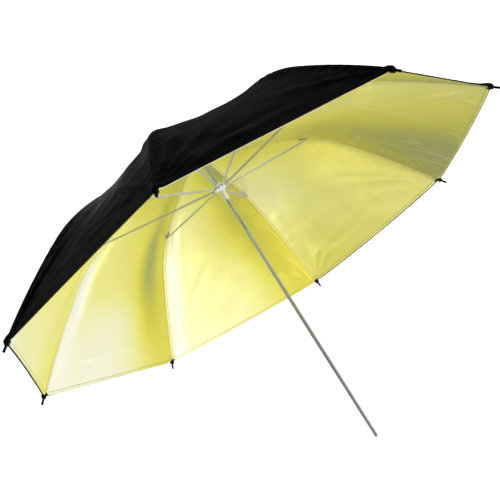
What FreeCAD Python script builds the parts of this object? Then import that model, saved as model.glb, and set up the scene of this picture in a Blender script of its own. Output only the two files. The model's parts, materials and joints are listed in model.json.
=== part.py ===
"""Folding studio umbrella reflector, as a parametric document in millimetres.

The shaft lies along Y. Its free end is at the origin and the crown is at +Y, so the lined
inside of the canopy faces -Y. Eight sprung ribs are hinged on the notch at the top of the
shaft and are held out by eight stretchers, hinged on a runner that slides on the shaft.
A rib, its stretcher and their small parts are drawn once in the XY plane, with X away from
the shaft, and are then turned about Y to their own place.
"""
import FreeCAD, Part
import math
import os
import Sketcher

V = FreeCAD.Vector
RIBS = 8
RIB_PITCH = 360 / RIBS
SMALLEST_CUT = 1e-3

SIZES = [
    # shaft and the small parts on it
    ("tube_radius", 3.5),
    ("tube_bore", 2.8),
    ("tube_length", 608),
    ("crimp_height", 418),
    ("crimp_width", 1.2),
    ("crimp_depth", 0.3),
    ("slot_width", 1.8),
    ("slot_bottom", 421),
    ("slot_top", 488),
    ("slide_gap", 0.2),
    ("press_gap", 0.02),
    ("plug_length", 12),
    ("plug_head", 3.1),
    ("plug_face", 1.9),
    ("plug_edge", 1),
    ("plug_dome", 2.5),
    ("catch_foot", 424),
    ("catch_shoulder", 484.5),
    ("catch_reach", 5.4),
    ("catch_sheet", 0.8),
    ("catch_width", 1.4),
    ("catch_lift", 0.6),
    ("catch_spring", 12),
    ("catch_bend", 1.0),
    ("catch_flat", 6),
    ("catch_hook", 1.4),
    ("catch_curl", 1.1),
    # rings of pivots on the notch and the runner
    ("pivot_ring", 9),
    ("notch_height", 594),
    ("hub_radius", 11.2),
    ("hub_neck", 5.5),
    ("hub_collar", 6.1),
    ("hub_cone", 2.5),
    ("hub_bevel", 1.2),
    ("hub_edge", 1),
    ("wire_radius", 0.6),
    ("wire_groove", 1.4),
    ("eye_hole", 0.75),
    ("eye_radius", 1.5),
    ("eye_slot", 2.0),
    ("eye_room", 0.4),
    ("eye_swing", 4),
    ("eye_sheet", 1.6),
    ("eye_reach", 10),
    ("notch_skirt", 12),
    ("notch_collar", 2),
    ("notch_below", 3.5),
    ("notch_above", 1.9),
    ("runner_skirt", 26),
    ("runner_collar", 9),
    ("runner_below", 3.2),
    ("runner_above", 3.2),
    # line of a rib in the open canopy: three arcs that meet smoothly
    ("inner_arc", 3000),
    ("shoulder_arc", 277),
    ("outer_arc", 1535),
    ("slope_root", 6.6),
    ("slope_inner", 10.5),
    ("slope_joint", 16.5),
    ("slope_outer", 37.4),
    ("slope_tip", 44.9),
    ("first_rib", 22.5),
    # sections of rib and stretcher
    ("rib_width", 4.4),
    ("rib_inside", 3.4),
    ("rib_half", 1.5),
    ("rib_roof", 1.0),
    ("rib_root", 4),
    ("joint_depth", 4.5),
    ("joint_ear", 1.9),
    ("joint_width", 3.2),
    ("joint_slot", 1.8),
    ("joint_back", 13),
    ("joint_back_top", 0.45),
    ("joint_front", 2),
    ("joint_front_top", 0.55),
    ("joint_front_foot", 1.2),
    ("joint_web", 2.2),
    ("rivet_radius", 0.8),
    ("rivet_head", 1.5),
    ("rivet_face", 0.9),
    ("rivet_edge", 0.2),
    ("rivet_grip", 3.3),
    ("rivet_length", 4.7),
    ("flex_gap", 2.2),
    ("flex_knuckle", 0.9),
    ("flex_width", 3.0),
    ("stay_width", 3.2),
    ("stay_inside", 2.2),
    ("stay_half", 1.5),
    ("stay_web", 1.0),
    ("stay_sheet", 1.4),
    ("stay_start", 9),
    ("stay_flat", 12),
    ("stay_root", 13),
    ("stay_strip", 0.3),
    ("stay_eye", 1.6),
    ("stay_hole", 0.92),
    # plastic rib tip
    ("tip_head", 4.5),
    ("tip_half", 5),
    ("tip_socket", 2.75),
    ("tip_peg", 2.2),
    ("tip_reach", 17),
    ("tip_wall", 3.9),
    ("tip_back_edge", 0.8),
    ("tip_shoulder", 1.4),
    ("tip_face", 3.3),
    ("tip_point", 0.8),
    ("tip_floor", 2),
    # fabric, crown washer and ferrule
    ("cover_rise", 2.7),
    ("cover_sheet", 0.5),
    ("cover_hole", 6),
    ("lining_drop", 2.1),
    ("lining_sheet", 0.4),
    ("lining_hole", 13.5),
    ("opening_length", 18),
    ("opening_start", 14.5),
    ("opening_width", 6),
    ("opening_depth", 12),
    ("opening_drop", 10),
    ("rim_gap", 6.2),
    ("washer_radius", 12),
    ("washer_base", 597.7),
    ("washer_sheet", 1),
    ("washer_dish", 0.4),
    ("washer_lip", 0.5),
    ("washer_crest", 0.8),
    ("ferrule_base", 598.9),
    ("ferrule_radius", 5.5),
    ("ferrule_foot", 2),
    ("ferrule_taper", 1),
    ("ferrule_neck", 4.6),
    ("ferrule_nose", 3.6),
    ("ferrule_bevel", 1.5),
    ("ferrule_roof", 0.3),
    ("ferrule_top", 612),
]

doc = FreeCAD.newDocument("umbrella_reflector")
sheet = doc.addObject("Spreadsheet::Sheet", "Sizes")
for row, (alias, size) in enumerate(SIZES, start=1):
    sheet.set(f"A{row}", alias)
    sheet.set(f"B{row}", str(size))
    sheet.setAlias(f"B{row}", alias)
doc.recompute()
pieces = []


# ---------------------------------------------------------------- drawing helpers

def size(expression):
    """The value of an expression over the sheet's aliases."""
    return float(sheet.evalExpression(bind(expression)))


def bind(expression):
    """Write 'Sizes.' before every alias in an expression."""
    words = str(expression)
    for mark in "+-*/()":
        words = words.replace(mark, f" {mark} ")
    aliases = {alias for alias, _ in SIZES}
    return "".join(f"Sizes.{w}" if w in aliases else w for w in words.split())


def new_body(name):
    body = doc.addObject("PartDesign::Body", name)
    body.Label = name
    pieces.append(body)
    return body


def origin_feature(body, role):
    return next(f for f in body.Origin.OriginFeatures if f.Role == role)


def new_sketch(body, name, role="XY_Plane"):
    sketch = body.newObject("Sketcher::SketchObject", f"{body.Label}_{name}")
    sketch.AttachmentSupport = [(origin_feature(body, role), "")]
    sketch.MapMode = "FlatFace"
    return sketch


def hold(sketch, constraint, expression):
    """Add a dimension and bind it to the sheet."""
    index = sketch.addConstraint(constraint)
    name = f"size_{index}"
    sketch.renameConstraint(index, name)
    sketch.setExpression(f"Constraints.{name}", bind(expression))


def arc_between(start, end, radius):
    """The arc of a signed radius from start to end, anticlockwise if the radius is positive."""
    chord = end - start
    rise = math.sqrt(max(radius ** 2 - (chord.Length / 2) ** 2, 0))
    side = V(-chord.y, chord.x, 0).normalize() * math.copysign(rise, radius)
    centre = (start + end) * 0.5 + side
    first, last = (start, end) if radius > 0 else (end, start)
    angles = [math.atan2(p.y - centre.y, p.x - centre.x) for p in (first, last)]
    return Part.ArcOfCircle(Part.Circle(centre, V(0, 0, 1), abs(radius)), *angles)


def outline(sketch, corners):
    """Draw a closed outline. A corner is (x, y) as expressions, or (x, y, radius) where an arc
    of that signed radius leads from this corner to the next one."""
    points = [V(size(c[0]), size(c[1]), 0) for c in corners]
    ends = []
    for i, corner in enumerate(corners):
        start, end = points[i], points[(i + 1) % len(points)]
        if len(corner) == 2:
            edge = sketch.addGeometry(Part.LineSegment(start, end), False)
            ends.append((edge, 1, 2))
            continue
        radius = size(corner[2])
        edge = sketch.addGeometry(arc_between(start, end, radius), False)
        ends.append((edge, 1, 2) if radius > 0 else (edge, 2, 1))
        bare = corner[2].lstrip("-")
        hold(sketch, Sketcher.Constraint("Radius", edge, abs(radius)), bare)
    for i, (edge, head, tail) in enumerate(ends):
        following, next_head, _ = ends[(i + 1) % len(ends)]
        sketch.addConstraint(Sketcher.Constraint("Coincident", edge, tail, following, next_head))
        x, y = corners[i][:2]
        hold(sketch, Sketcher.Constraint("DistanceX", -1, 1, edge, head, points[i].x), x)
        hold(sketch, Sketcher.Constraint("DistanceY", -1, 1, edge, head, points[i].y), y)


def circle(sketch, x, y, radius):
    """Draw a circle whose centre and radius are expressions."""
    centre = V(size(x), size(y), 0)
    edge = sketch.addGeometry(Part.Circle(centre, V(0, 0, 1), size(radius)), False)
    hold(sketch, Sketcher.Constraint("Radius", edge, size(radius)), radius)
    hold(sketch, Sketcher.Constraint("DistanceX", -1, 1, edge, 3, centre.x), x)
    hold(sketch, Sketcher.Constraint("DistanceY", -1, 1, edge, 3, centre.y), y)


def box_corners(left, right, bottom, top):
    return [(left, bottom), (right, bottom), (right, top), (left, top)]


def raise_or_cut(kind, body, sketch, length, one_sided=False):
    feature = body.newObject(f"PartDesign::{kind}", f"{sketch.Label}_{kind.lower()}")
    feature.Profile = sketch
    feature.Type = "Length"
    feature.setExpression("Length", bind(length))
    if one_sided:
        # a pocket runs against the sketch's normal, so this one is turned to run along it
        feature.Reversed = True
    else:
        feature.SideType = "Symmetric"
    body.Tip = feature
    return feature


def pad(body, name, corners, width):
    sketch = new_sketch(body, name)
    outline(sketch, corners)
    return raise_or_cut("Pad", body, sketch, width)


def pocket(body, name, corners, width, one_sided=False):
    sketch = new_sketch(body, name)
    outline(sketch, corners)
    return raise_or_cut("Pocket", body, sketch, width, one_sided)


def disc(body, name, x, y, radius, width):
    sketch = new_sketch(body, name)
    circle(sketch, x, y, radius)
    return raise_or_cut("Pad", body, sketch, width)


def hole(body, name, x, y, radius, width):
    sketch = new_sketch(body, name)
    circle(sketch, x, y, radius)
    return raise_or_cut("Pocket", body, sketch, width)


def turn(kind, body, name, corners, axis="V_Axis", role="XY_Plane"):
    """A full Revolution or Groove of an outline about an axis of its own sketch."""
    sketch = new_sketch(body, name, role)
    outline(sketch, corners)
    feature = body.newObject(f"PartDesign::{kind}", f"{sketch.Label}_{kind.lower()}")
    feature.Profile = sketch
    feature.ReferenceAxis = (sketch, [axis])
    feature.Angle = 360
    body.Tip = feature
    return feature


# ---------------------------------------------------------------- the line of a rib

def rib_centre(arc):
    """Expressions for the centre of the inner (0), shoulder (1) or outer (2) arc."""
    x = "pivot_ring - inner_arc * sin(slope_root)"
    y = "notch_height - inner_arc * cos(slope_root)"
    if arc >= 1:
        x += " + (inner_arc - shoulder_arc) * sin(slope_inner)"
        y += " + (inner_arc - shoulder_arc) * cos(slope_inner)"
    if arc >= 2:
        x += " + (shoulder_arc - outer_arc) * sin(slope_outer)"
        y += " + (shoulder_arc - outer_arc) * cos(slope_outer)"
    return x, y


ARC_RADII = ("inner_arc", "shoulder_arc", "outer_arc")


def rib_point(arc, slope, offset="0"):
    """Expressions for the point of the rib's line at a slope, moved out by offset."""
    x, y = rib_centre(arc)
    reach = f"({ARC_RADII[arc]} + ({offset}))"
    return f"{x} + {reach} * sin({slope})", f"{y} + {reach} * cos({slope})"


def rib_band(stations, low, high):
    """Corners of a band along the rib from offset low to offset high. stations lists
    (arc, slope at its start), then the slope at the very end."""
    spans = stations[:-1]
    slopes = [slope for _, slope in spans] + [stations[-1]]
    outer, inner = [], []
    for i, (arc, slope) in enumerate(spans):
        outer.append((*rib_point(arc, slope, high), f"-({ARC_RADII[arc]} + ({high}))"))
        inner.append((*rib_point(arc, slopes[i + 1], low), f"({ARC_RADII[arc]} + ({low}))"))
    outer.append(rib_point(spans[-1][0], slopes[-1], high))
    first = rib_point(spans[0][0], slopes[0], low)
    return outer + list(reversed(inner)) + [first]


def place(x, y, degrees, rib):
    """Put a local XY drawing at a point of the rib plane, then turn it to its rib."""
    local = FreeCAD.Placement(V(x, y, 0), FreeCAD.Rotation(V(0, 0, 1), degrees))
    return rib_turn(rib) * local


def rib_turn(rib):
    angle = size("first_rib") + RIB_PITCH * rib
    return FreeCAD.Placement(V(0, 0, 0), FreeCAD.Rotation(V(0, 1, 0), -angle))


def joint_pivot():
    """Where a stretcher is riveted to its rib, in the rib plane."""
    x, y = (size(e) for e in rib_point(1, "slope_joint"))
    slope = math.radians(size("slope_joint"))
    depth = size("joint_depth")
    return x - depth * math.sin(slope), y - depth * math.cos(slope)


def runner_pivot_height():
    """The runner's pivots mirror the notch's about the level of the rib joints."""
    return 2 * joint_pivot()[1] - size("notch_height")


# ---------------------------------------------------------------- shaft group

def make_shaft_tube():
    """Tube with the catch's slot and the ring crimped round it below the slot."""
    body = new_body("shaft_tube")
    turn("Revolution", body, "wall", box_corners("tube_bore", "tube_radius", "0", "tube_length"))
    turn("Groove", body, "crimp", box_corners(
        "tube_radius - crimp_depth", "tube_radius + 1", "crimp_height", "crimp_height + crimp_width"))
    pocket(body, "slot", box_corners("-slot_width / 2", "slot_width / 2", "slot_bottom", "slot_top"),
           "2 * tube_radius", one_sided=True)


def make_shaft_end_plug():
    """Domed plug pressed into the shaft's free end."""
    body = new_body("shaft_end_plug")
    turn("Revolution", body, "side", [
        ("0", "-plug_dome"),
        ("plug_face", "-plug_dome"),
        ("plug_head", "-plug_edge"),
        ("plug_head", "-press_gap"),
        ("tube_bore - press_gap", "-press_gap"),
        ("tube_bore - press_gap", "plug_length"),
        ("0", "plug_length"),
    ])


def make_spring_catch():
    """Bent spring leaf in the slot: its shoulder holds the runner up."""
    body = new_body("spring_catch")
    sketch = new_sketch(body, "side", "YZ_Plane")
    outline(sketch, [
        ("catch_foot", "catch_lift"),
        ("catch_foot + catch_spring", "catch_bend"),
        ("catch_shoulder - catch_flat", "catch_reach - catch_sheet"),
        ("catch_shoulder - catch_sheet", "catch_reach - catch_sheet"),
        ("catch_shoulder - catch_sheet", "catch_hook"),
        ("catch_shoulder", "catch_hook"),
        ("catch_shoulder", "catch_reach"),
        ("catch_shoulder - catch_flat - catch_sheet / 2", "catch_reach"),
        ("catch_foot + catch_spring", "catch_bend + catch_sheet"),
        ("catch_foot", "catch_lift + catch_sheet"),
    ])
    raise_or_cut("Pad", body, sketch, "catch_width")
    foot = new_sketch(body, "foot", "YZ_Plane")
    circle(foot, "catch_foot", "catch_bend", "catch_curl")
    raise_or_cut("Pad", body, foot, "catch_width")


def hub(body, skirt, collar, pivot_height, neck_gap, face_low, face_high):
    """Sleeve with a slotted flange: a ring of slots for the eyes and a groove for the wire."""
    bore = f"tube_radius + {neck_gap}"
    level = str(pivot_height)
    turn("Revolution", body, "side", [
        (bore, f"{level} - {skirt}"),
        ("hub_neck", f"{level} - {skirt}"),
        ("hub_neck", f"{level} - {face_low} - hub_cone"),
        ("hub_radius - hub_bevel", f"{level} - {face_low}"),
        ("hub_radius", f"{level} - {face_low} + hub_edge"),
        ("hub_radius", f"{level} + {face_high}"),
        ("hub_collar", f"{level} + {face_high}"),
        ("hub_collar", f"{level} + {collar}"),
        (bore, f"{level} + {collar}"),
    ])
    turn("Groove", body, "wire_groove", box_corners(
        "pivot_ring - wire_groove / 2", "hub_radius + hub_edge",
        f"{level} - wire_groove / 2", f"{level} + wire_groove / 2"))
    slot = pocket(body, "eye_slot", box_corners(
        "pivot_ring - eye_radius - eye_room", "hub_radius + hub_edge",
        f"{level} - {face_low} - eye_swing", f"{level} + {face_high} + hub_edge"), "eye_slot")
    ring = body.newObject("PartDesign::PolarPattern", f"{body.Label}_eye_slots")
    ring.Originals = [slot]
    ring.Axis = (origin_feature(body, "Y_Axis"), [""])
    ring.Angle = 360
    ring.Occurrences = RIBS
    body.Tip = ring
    body.Placement = rib_turn(0)


def make_top_notch():
    """Slotted crown fixed on the top of the shaft: the ribs hinge in it."""
    hub(new_body("top_notch"), "notch_skirt", "notch_collar", size("notch_height"),
        "press_gap", "notch_below", "notch_above")


def make_runner():
    """White moulded slider with its slotted ring for the stretchers."""
    hub(new_body("runner"), "runner_skirt", "runner_collar", runner_pivot_height(),
        "slide_gap", "runner_below", "runner_above")


def make_ring_wire(name, height):
    """Wire ring threaded through the eyes of eight ribs or stretchers."""
    wire = doc.addObject("Part::Torus", name)
    wire.Label = name
    wire.setExpression("Radius1", bind("pivot_ring"))
    wire.setExpression("Radius2", bind("wire_radius"))
    wire.Placement = FreeCAD.Placement(V(0, height, 0), FreeCAD.Rotation(V(1, 0, 0), -90))
    pieces.append(wire)


def make_crown_washer():
    """Dished washer that clamps the cover on the notch."""
    body = new_body("crown_washer")
    turn("Revolution", body, "side", [
        ("tube_radius + press_gap", "washer_base"),
        ("washer_radius", "washer_base - washer_dish"),
        ("washer_radius", "washer_base - washer_dish + washer_lip"),
        ("washer_radius - washer_sheet", "washer_base + washer_crest"),
        ("tube_radius + press_gap", "washer_base + washer_sheet"),
    ])


def make_ferrule():
    """Cap pressed on the top end of the shaft, over the washer."""
    body = new_body("ferrule")
    turn("Revolution", body, "side", [
        ("0", "tube_length + ferrule_roof"),
        ("tube_radius + press_gap", "tube_length + ferrule_roof"),
        ("tube_radius + press_gap", "ferrule_base"),
        ("ferrule_radius", "ferrule_base"),
        ("ferrule_radius", "ferrule_base + ferrule_foot"),
        ("ferrule_neck", "ferrule_base + ferrule_foot + ferrule_taper"),
        ("ferrule_neck", "ferrule_top - ferrule_bevel"),
        ("ferrule_nose", "ferrule_top"),
        ("0", "ferrule_top"),
    ])


# ---------------------------------------------------------------- rib group

TONGUE_SLOPE = "(slope_root + eye_reach / inner_arc * 180 / pi)"
TONGUE_ROOT = "(slope_root + (eye_reach + rib_root) / inner_arc * 180 / pi)"
FLEX_SLOPE = "(slope_joint + flex_gap / shoulder_arc * 180 / pi)"
FLEX_ROOT = "(slope_joint + (flex_gap + rib_root) / shoulder_arc * 180 / pi)"


def make_rib(rib):
    """Inner part of a rib: a channel open to the inside, flattened to an eye at the notch."""
    body = new_body(f"rib_{rib + 1}")
    shell = [(0, TONGUE_SLOPE), (1, "slope_inner"), "slope_joint"]
    inside = [(0, TONGUE_ROOT), (1, "slope_inner"), "(slope_joint + 0.2)"]
    pad(body, "shell", rib_band(shell, "-rib_half", "rib_half"), "rib_width")
    pocket(body, "channel", rib_band(inside, "-rib_half - 1", "rib_roof"), "rib_inside")
    tongue = [(0, "slope_root"), TONGUE_ROOT]
    pad(body, "tongue", rib_band(tongue, "-rib_half", "rib_half"), "eye_sheet")
    disc(body, "eye", "pivot_ring", "notch_height", "eye_radius", "eye_sheet")
    hole(body, "eye_hole", "pivot_ring", "notch_height", "eye_hole", "rib_width")
    body.Placement = rib_turn(rib)


def make_rib_end(rib):
    """Outer part of a rib: a channel that ends in the plastic tip."""
    body = new_body(f"rib_end_{rib + 1}")
    shell = [(1, FLEX_SLOPE), (2, "slope_outer"), "slope_tip"]
    inside = [(1, FLEX_ROOT), (2, "slope_outer"), "(slope_tip + 0.1)"]
    pad(body, "shell", rib_band(shell, "-rib_half", "rib_half"), "rib_width")
    pocket(body, "channel", rib_band(inside, "-rib_half - 1", "rib_roof"), "rib_inside")
    tongue = [(1, "slope_joint"), FLEX_ROOT]
    pad(body, "tongue", rib_band(tongue, "-flex_knuckle", "flex_knuckle"), "flex_width")
    x, y = rib_point(1, "slope_joint")
    disc(body, "knuckle", x, y, "flex_knuckle", "flex_width")
    body.Placement = rib_turn(rib)


def make_rib_joint(rib):
    """Bracket crimped in the rib's channel: two ears carry the stretcher's rivet."""
    body = new_body(f"rib_joint_{rib + 1}")
    pad(body, "side", [
        ("-joint_back", "joint_back_top"),
        ("-joint_back", "-rib_half"),
        ("-joint_ear", "-joint_depth"),
        ("joint_ear", "-joint_depth"),
        ("-joint_front", "-joint_front_foot"),
        ("-joint_front", "joint_front_top"),
    ], "joint_width")
    disc(body, "ears", "0", "-joint_depth", "joint_ear", "joint_width")
    pocket(body, "slot", box_corners(
        "-joint_back - joint_ear", "2 * joint_ear", "-2 * joint_depth", "-joint_web"), "joint_slot")
    hole(body, "rivet_hole", "0", "-joint_depth", "rivet_radius + press_gap", "2 * joint_width")
    body.Placement = place(*flex_pivot(), -size("slope_joint"), rib)


def make_rib_rivet(rib):
    """Rivet through the bracket's ears and the stretcher's eye."""
    body = new_body(f"rib_rivet_{rib + 1}")
    turn("Revolution", body, "side", [
        ("0", "-rivet_length / 2"),
        ("rivet_face", "-rivet_length / 2"),
        ("rivet_head", "-rivet_grip / 2 - rivet_edge"),
        ("rivet_head", "-rivet_grip / 2"),
        ("rivet_radius", "-rivet_grip / 2"),
        ("rivet_radius", "rivet_grip / 2"),
        ("rivet_head", "rivet_grip / 2"),
        ("rivet_head", "rivet_grip / 2 + rivet_edge"),
        ("rivet_face", "rivet_length / 2"),
        ("0", "rivet_length / 2"),
    ], role="XZ_Plane")
    body.Placement = place(*joint_pivot(), 0, rib)


def flex_pivot():
    """The point of the rib's line where its sprung bend is gathered."""
    return tuple(size(e) for e in rib_point(1, "slope_joint"))


def make_stretcher(rib):
    """Channel with a flattened eye at each end, drawn from the rivet towards the runner."""
    body = new_body(f"stretcher_{rib + 1}")
    pivot_x, pivot_y = joint_pivot()
    run_x = size("pivot_ring") - pivot_x
    run_y = runner_pivot_height() - pivot_y
    length = math.hypot(run_x, run_y)
    far = str(length)
    shell = box_corners("stay_start", f"{far} - stay_start", "-stay_half", "stay_half")
    pad(body, "shell", shell, "stay_width")
    channel = box_corners("stay_root", f"{far} - stay_root", "-stay_web", "2 * stay_half")
    pocket(body, "channel", channel, "stay_inside")
    pad(body, "strip", box_corners("0", far, "-stay_half", "-stay_half + stay_strip"), "stay_sheet")
    for end, start, stop in (("rivet", "0", "stay_flat"), ("runner", f"{far} - stay_flat", far)):
        pad(body, f"{end}_tongue", box_corners(start, stop, "-stay_half", "stay_half"), "stay_sheet")
    disc(body, "rivet_eye", "0", "0", "stay_eye", "stay_sheet")
    disc(body, "runner_eye", far, "0", "stay_eye", "stay_sheet")
    hole(body, "rivet_hole", "0", "0", "stay_hole", "stay_width")
    hole(body, "runner_hole", far, "0", "eye_hole", "stay_width")
    heading = math.degrees(math.atan2(run_y, run_x))
    body.Placement = place(pivot_x, pivot_y, heading, rib)


def make_rib_tip(rib):
    """Plastic tip: a fat head with a socket for the rib, and a thin peg beyond it."""
    body = new_body(f"rib_tip_{rib + 1}")
    turn("Revolution", body, "side", [
        ("-tip_half", "tip_socket"),
        ("-tip_half", "tip_wall"),
        ("-tip_half + tip_back_edge", "tip_head"),
        ("tip_half - tip_shoulder", "tip_head"),
        ("tip_half", "tip_face"),
        ("tip_half", "tip_peg"),
        ("tip_reach - tip_point", "tip_peg"),
        ("tip_reach", "tip_peg - tip_point"),
        ("tip_reach", "0"),
        ("tip_floor", "0"),
        ("tip_floor", "tip_socket"),
    ], axis="H_Axis")
    x, y = (size(e) for e in rib_point(2, "slope_tip"))
    body.Placement = place(x, y, -size("slope_tip"), rib)


# ---------------------------------------------------------------- fabric

def rib_line(offset):
    """The rib's line from the notch to the rim as three arcs, moved out by offset."""
    rim_slope = "slope_tip - rim_gap / outer_arc * 180 / pi"
    slopes = ["slope_root", "slope_inner", "slope_outer", rim_slope]
    edges = []
    for arc in range(3):
        centre = V(*(size(e) for e in rib_centre(arc)), 0)
        radius = size(ARC_RADII[arc]) + offset
        high, low = (math.radians(90 - size(s)) for s in slopes[arc:arc + 2])
        edges.append(Part.ArcOfCircle(Part.Circle(centre, V(0, 0, 1), radius), low, high).toShape())
    return edges


def gore(low, high):
    """One eighth of a fabric shell, straight from rib to rib, between two offsets."""
    outer, inner = rib_line(high), rib_line(low)
    ends = [
        Part.makeLine(outer[0].Vertexes[-1].Point, inner[0].Vertexes[-1].Point),
        Part.makeLine(outer[2].Vertexes[0].Point, inner[2].Vertexes[0].Point),
    ]
    section = Part.Face(Part.Wire(Part.__sortEdges__(outer + inner + ends)))
    half_pitch = math.radians(RIB_PITCH / 2)
    chord = V(-math.sin(half_pitch), 0, math.cos(half_pitch))
    reach = size("2 * notch_height")
    swept = section.extrude(chord * reach)
    low_y, high_y = V(0, 0, 0), V(0, reach, 0)
    far = [V(reach * math.cos(a), 0, reach * math.sin(a)) for a in (0, 2 * half_pitch)]
    wedge = Part.Face(Part.makePolygon([low_y, *far, low_y])).extrude(high_y)
    return swept.common(wedge)


def shell_of_gores(low, high, hole_name):
    """The eight gores joined along the ribs, with a round hole at the crown."""
    first = gore(low, high)
    gores = []
    for rib in range(RIBS):
        copy = first.copy()
        copy.Placement = rib_turn(rib)
        gores.append(copy)
    shell = gores[0].multiFuse(gores[1:]).removeSplitter()
    drill = Part.makeCylinder(size(hole_name), size("tube_length"), V(0, 0, 0), V(0, 1, 0))
    return shell.cut(drill)


def fabric_piece(name, shell):
    piece = doc.addObject("Part::Feature", name)
    piece.Label = name
    piece.Shape = shell.Solids[0]
    if len(shell.Solids) != 1:
        raise RuntimeError(f"{name} is in {len(shell.Solids)} parts")
    pieces.append(piece)


def make_outer_cover():
    low = size("cover_rise")
    fabric_piece("outer_cover", shell_of_gores(low, low + size("cover_sheet"), "cover_hole"))


def make_gold_lining():
    """Lining below the ribs, with an opening for every rib joint."""
    high = -size("lining_drop")
    shell = shell_of_gores(high - size("lining_sheet"), high, "lining_hole")
    length, depth, width = size("opening_length"), size("opening_depth"), size("opening_width")
    corner = V(-size("opening_start"), -size("opening_drop"), -width / 2)
    for rib in range(RIBS):
        opening = Part.makeBox(length, depth, width, corner)
        opening.Placement = place(*flex_pivot(), -size("slope_joint"), rib)
        shell = shell.cut(opening)
    fabric_piece("gold_lining", shell)


# ---------------------------------------------------------------- build and write

def check_pieces():
    """Stop on any object that failed to compute, or any piece that isn't one valid solid."""
    for item in doc.Objects:
        if "Invalid" in item.State or "Error" in item.State:
            raise RuntimeError(f"{item.Name} failed: {item.State}")
    for piece in pieces:
        shape = piece.Shape
        if shape.isNull() or not shape.isValid() or len(shape.Solids) != 1:
            raise RuntimeError(f"{piece.Label}: {len(shape.Solids)} solids, valid {shape.isValid()}")


def check_cuts():
    """Every cut has to take material away, so its body is smaller after it."""
    for item in doc.Objects:
        if item.TypeId in ("PartDesign::Pocket", "PartDesign::Groove"):
            before = item.BaseFeature.Shape.Volume
            if item.Shape.Volume > before - SMALLEST_CUT:
                raise RuntimeError(f"{item.Name} cuts nothing")


make_shaft_tube()
make_shaft_end_plug()
make_spring_catch()
make_top_notch()
make_ring_wire("notch_wire", size("notch_height"))
make_crown_washer()
make_ferrule()
make_runner()
make_ring_wire("runner_wire", runner_pivot_height())
for number in range(RIBS):
    make_rib(number)
    make_rib_joint(number)
    make_rib_rivet(number)
    make_rib_end(number)
    make_rib_tip(number)
    make_stretcher(number)
make_outer_cover()
make_gold_lining()
doc.recompute()
check_pieces()
check_cuts()
os.makedirs("parts", exist_ok=True)
for piece in pieces:
    piece.Shape.exportStep(f"parts/{piece.Label}.step")
print(len(pieces), "pieces written")
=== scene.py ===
"""Looks of the umbrella reflector: fabric canopy, metals, plastics, light and camera."""
import json
import math

import bpy
import numpy as np
from mathutils import Matrix, Vector


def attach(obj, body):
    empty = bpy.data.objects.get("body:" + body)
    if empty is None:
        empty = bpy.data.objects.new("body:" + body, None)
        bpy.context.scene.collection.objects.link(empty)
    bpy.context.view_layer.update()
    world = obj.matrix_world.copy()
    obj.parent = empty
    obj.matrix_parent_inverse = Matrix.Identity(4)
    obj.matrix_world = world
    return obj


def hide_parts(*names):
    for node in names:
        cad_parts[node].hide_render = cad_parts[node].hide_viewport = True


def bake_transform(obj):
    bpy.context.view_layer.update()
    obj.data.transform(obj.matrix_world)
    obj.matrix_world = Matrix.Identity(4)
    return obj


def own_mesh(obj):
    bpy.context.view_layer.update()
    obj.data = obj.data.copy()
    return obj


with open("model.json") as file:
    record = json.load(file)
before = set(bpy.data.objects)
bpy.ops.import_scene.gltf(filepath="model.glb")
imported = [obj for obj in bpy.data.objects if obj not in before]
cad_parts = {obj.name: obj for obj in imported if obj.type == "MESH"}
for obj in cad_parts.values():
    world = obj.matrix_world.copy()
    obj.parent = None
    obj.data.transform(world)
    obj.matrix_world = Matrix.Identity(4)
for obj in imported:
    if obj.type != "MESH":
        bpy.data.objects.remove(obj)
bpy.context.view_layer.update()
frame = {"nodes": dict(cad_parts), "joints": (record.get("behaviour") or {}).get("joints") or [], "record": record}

# ---------------------------------------------------------------- driving values, in metres

RIBS = 8
HALF_PITCH = math.pi / RIBS
# a rib's line is three arcs: their radii, and the slope at the start and after each of them
INNER_ARC, SHOULDER_ARC, OUTER_ARC = 3.0, 0.277, 1.535
SLOPES = [math.radians(a) for a in (6.6, 10.5, 37.4, 44.9)]
# thickness of a cloth, and how closely its points are spaced
SHEET = 0.0003
ROW_PITCH = 0.005
COLUMNS = 36
NORMAL_STEP = 0.0004
# where each cloth starts at the crown, where its first band ends, and how far bands overlap
CROWN_EDGE = {"cover": 0.0006, "lining": 0.0056}
COLLAR = 0.09
LAP = 0.004
LAP_END = 0.0012
LAP_DEPTH = 0.00036
# the strip of cloth over a rib
STRIP_HALF = 0.007
STRIP_LIFT = 0.00036
# the rim: the cut of the lining's corner at a tip, how far the cloth passes the rib's end, and
# the side that it is pulled up on
CORNER_CUT = 0.008
RIM_REACH = 0.002
PULLED_SIDE = math.radians(140)
# the hem, its rows as shares of its depth, and how far it stands proud of the sheet
HEM = 0.006
HEM_ROWS = (1.5, 1.15, 1.05, 0.95, 0.7, 0.4, 0.15, 0.07, 0.0)
HEM_RISE = {"cover": 0.00025, "lining": -0.00035}
# the slit in the lining's seam for a rib's bracket: half width, and reach on both sides of the bend
SLIT_HALF, SLIT_BEFORE, SLIT_AFTER = 0.0026, 0.0145, 0.0035
# half width of the lining's seam, and the stitches of every seam
LINING_SEAM = 0.0034
STITCH_HALF, STITCH_PITCH = 0.00022, 0.0028

joints = {j["name"]: j for j in frame["joints"]}


def joint_place(name):
    """(distance from the shaft's axis, height along it, angle round it) of a joint."""
    x, y, z = joints[name]["pos_m"]
    return math.hypot(x, z), y, math.atan2(z, x)


PIVOT_RADIUS, PIVOT_HEIGHT, FIRST_ANGLE = joint_place("canopy_fold")
FLEX_RADIUS = joint_place("rib_1_flex")[0]


# ---------------------------------------------------------------- the line of a rib

ARC_LENGTHS = [
    INNER_ARC * (SLOPES[1] - SLOPES[0]),
    SHOULDER_ARC * (SLOPES[2] - SLOPES[1]),
    OUTER_ARC * (SLOPES[3] - SLOPES[2]),
]
RIB_LENGTH = sum(ARC_LENGTHS)


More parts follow.
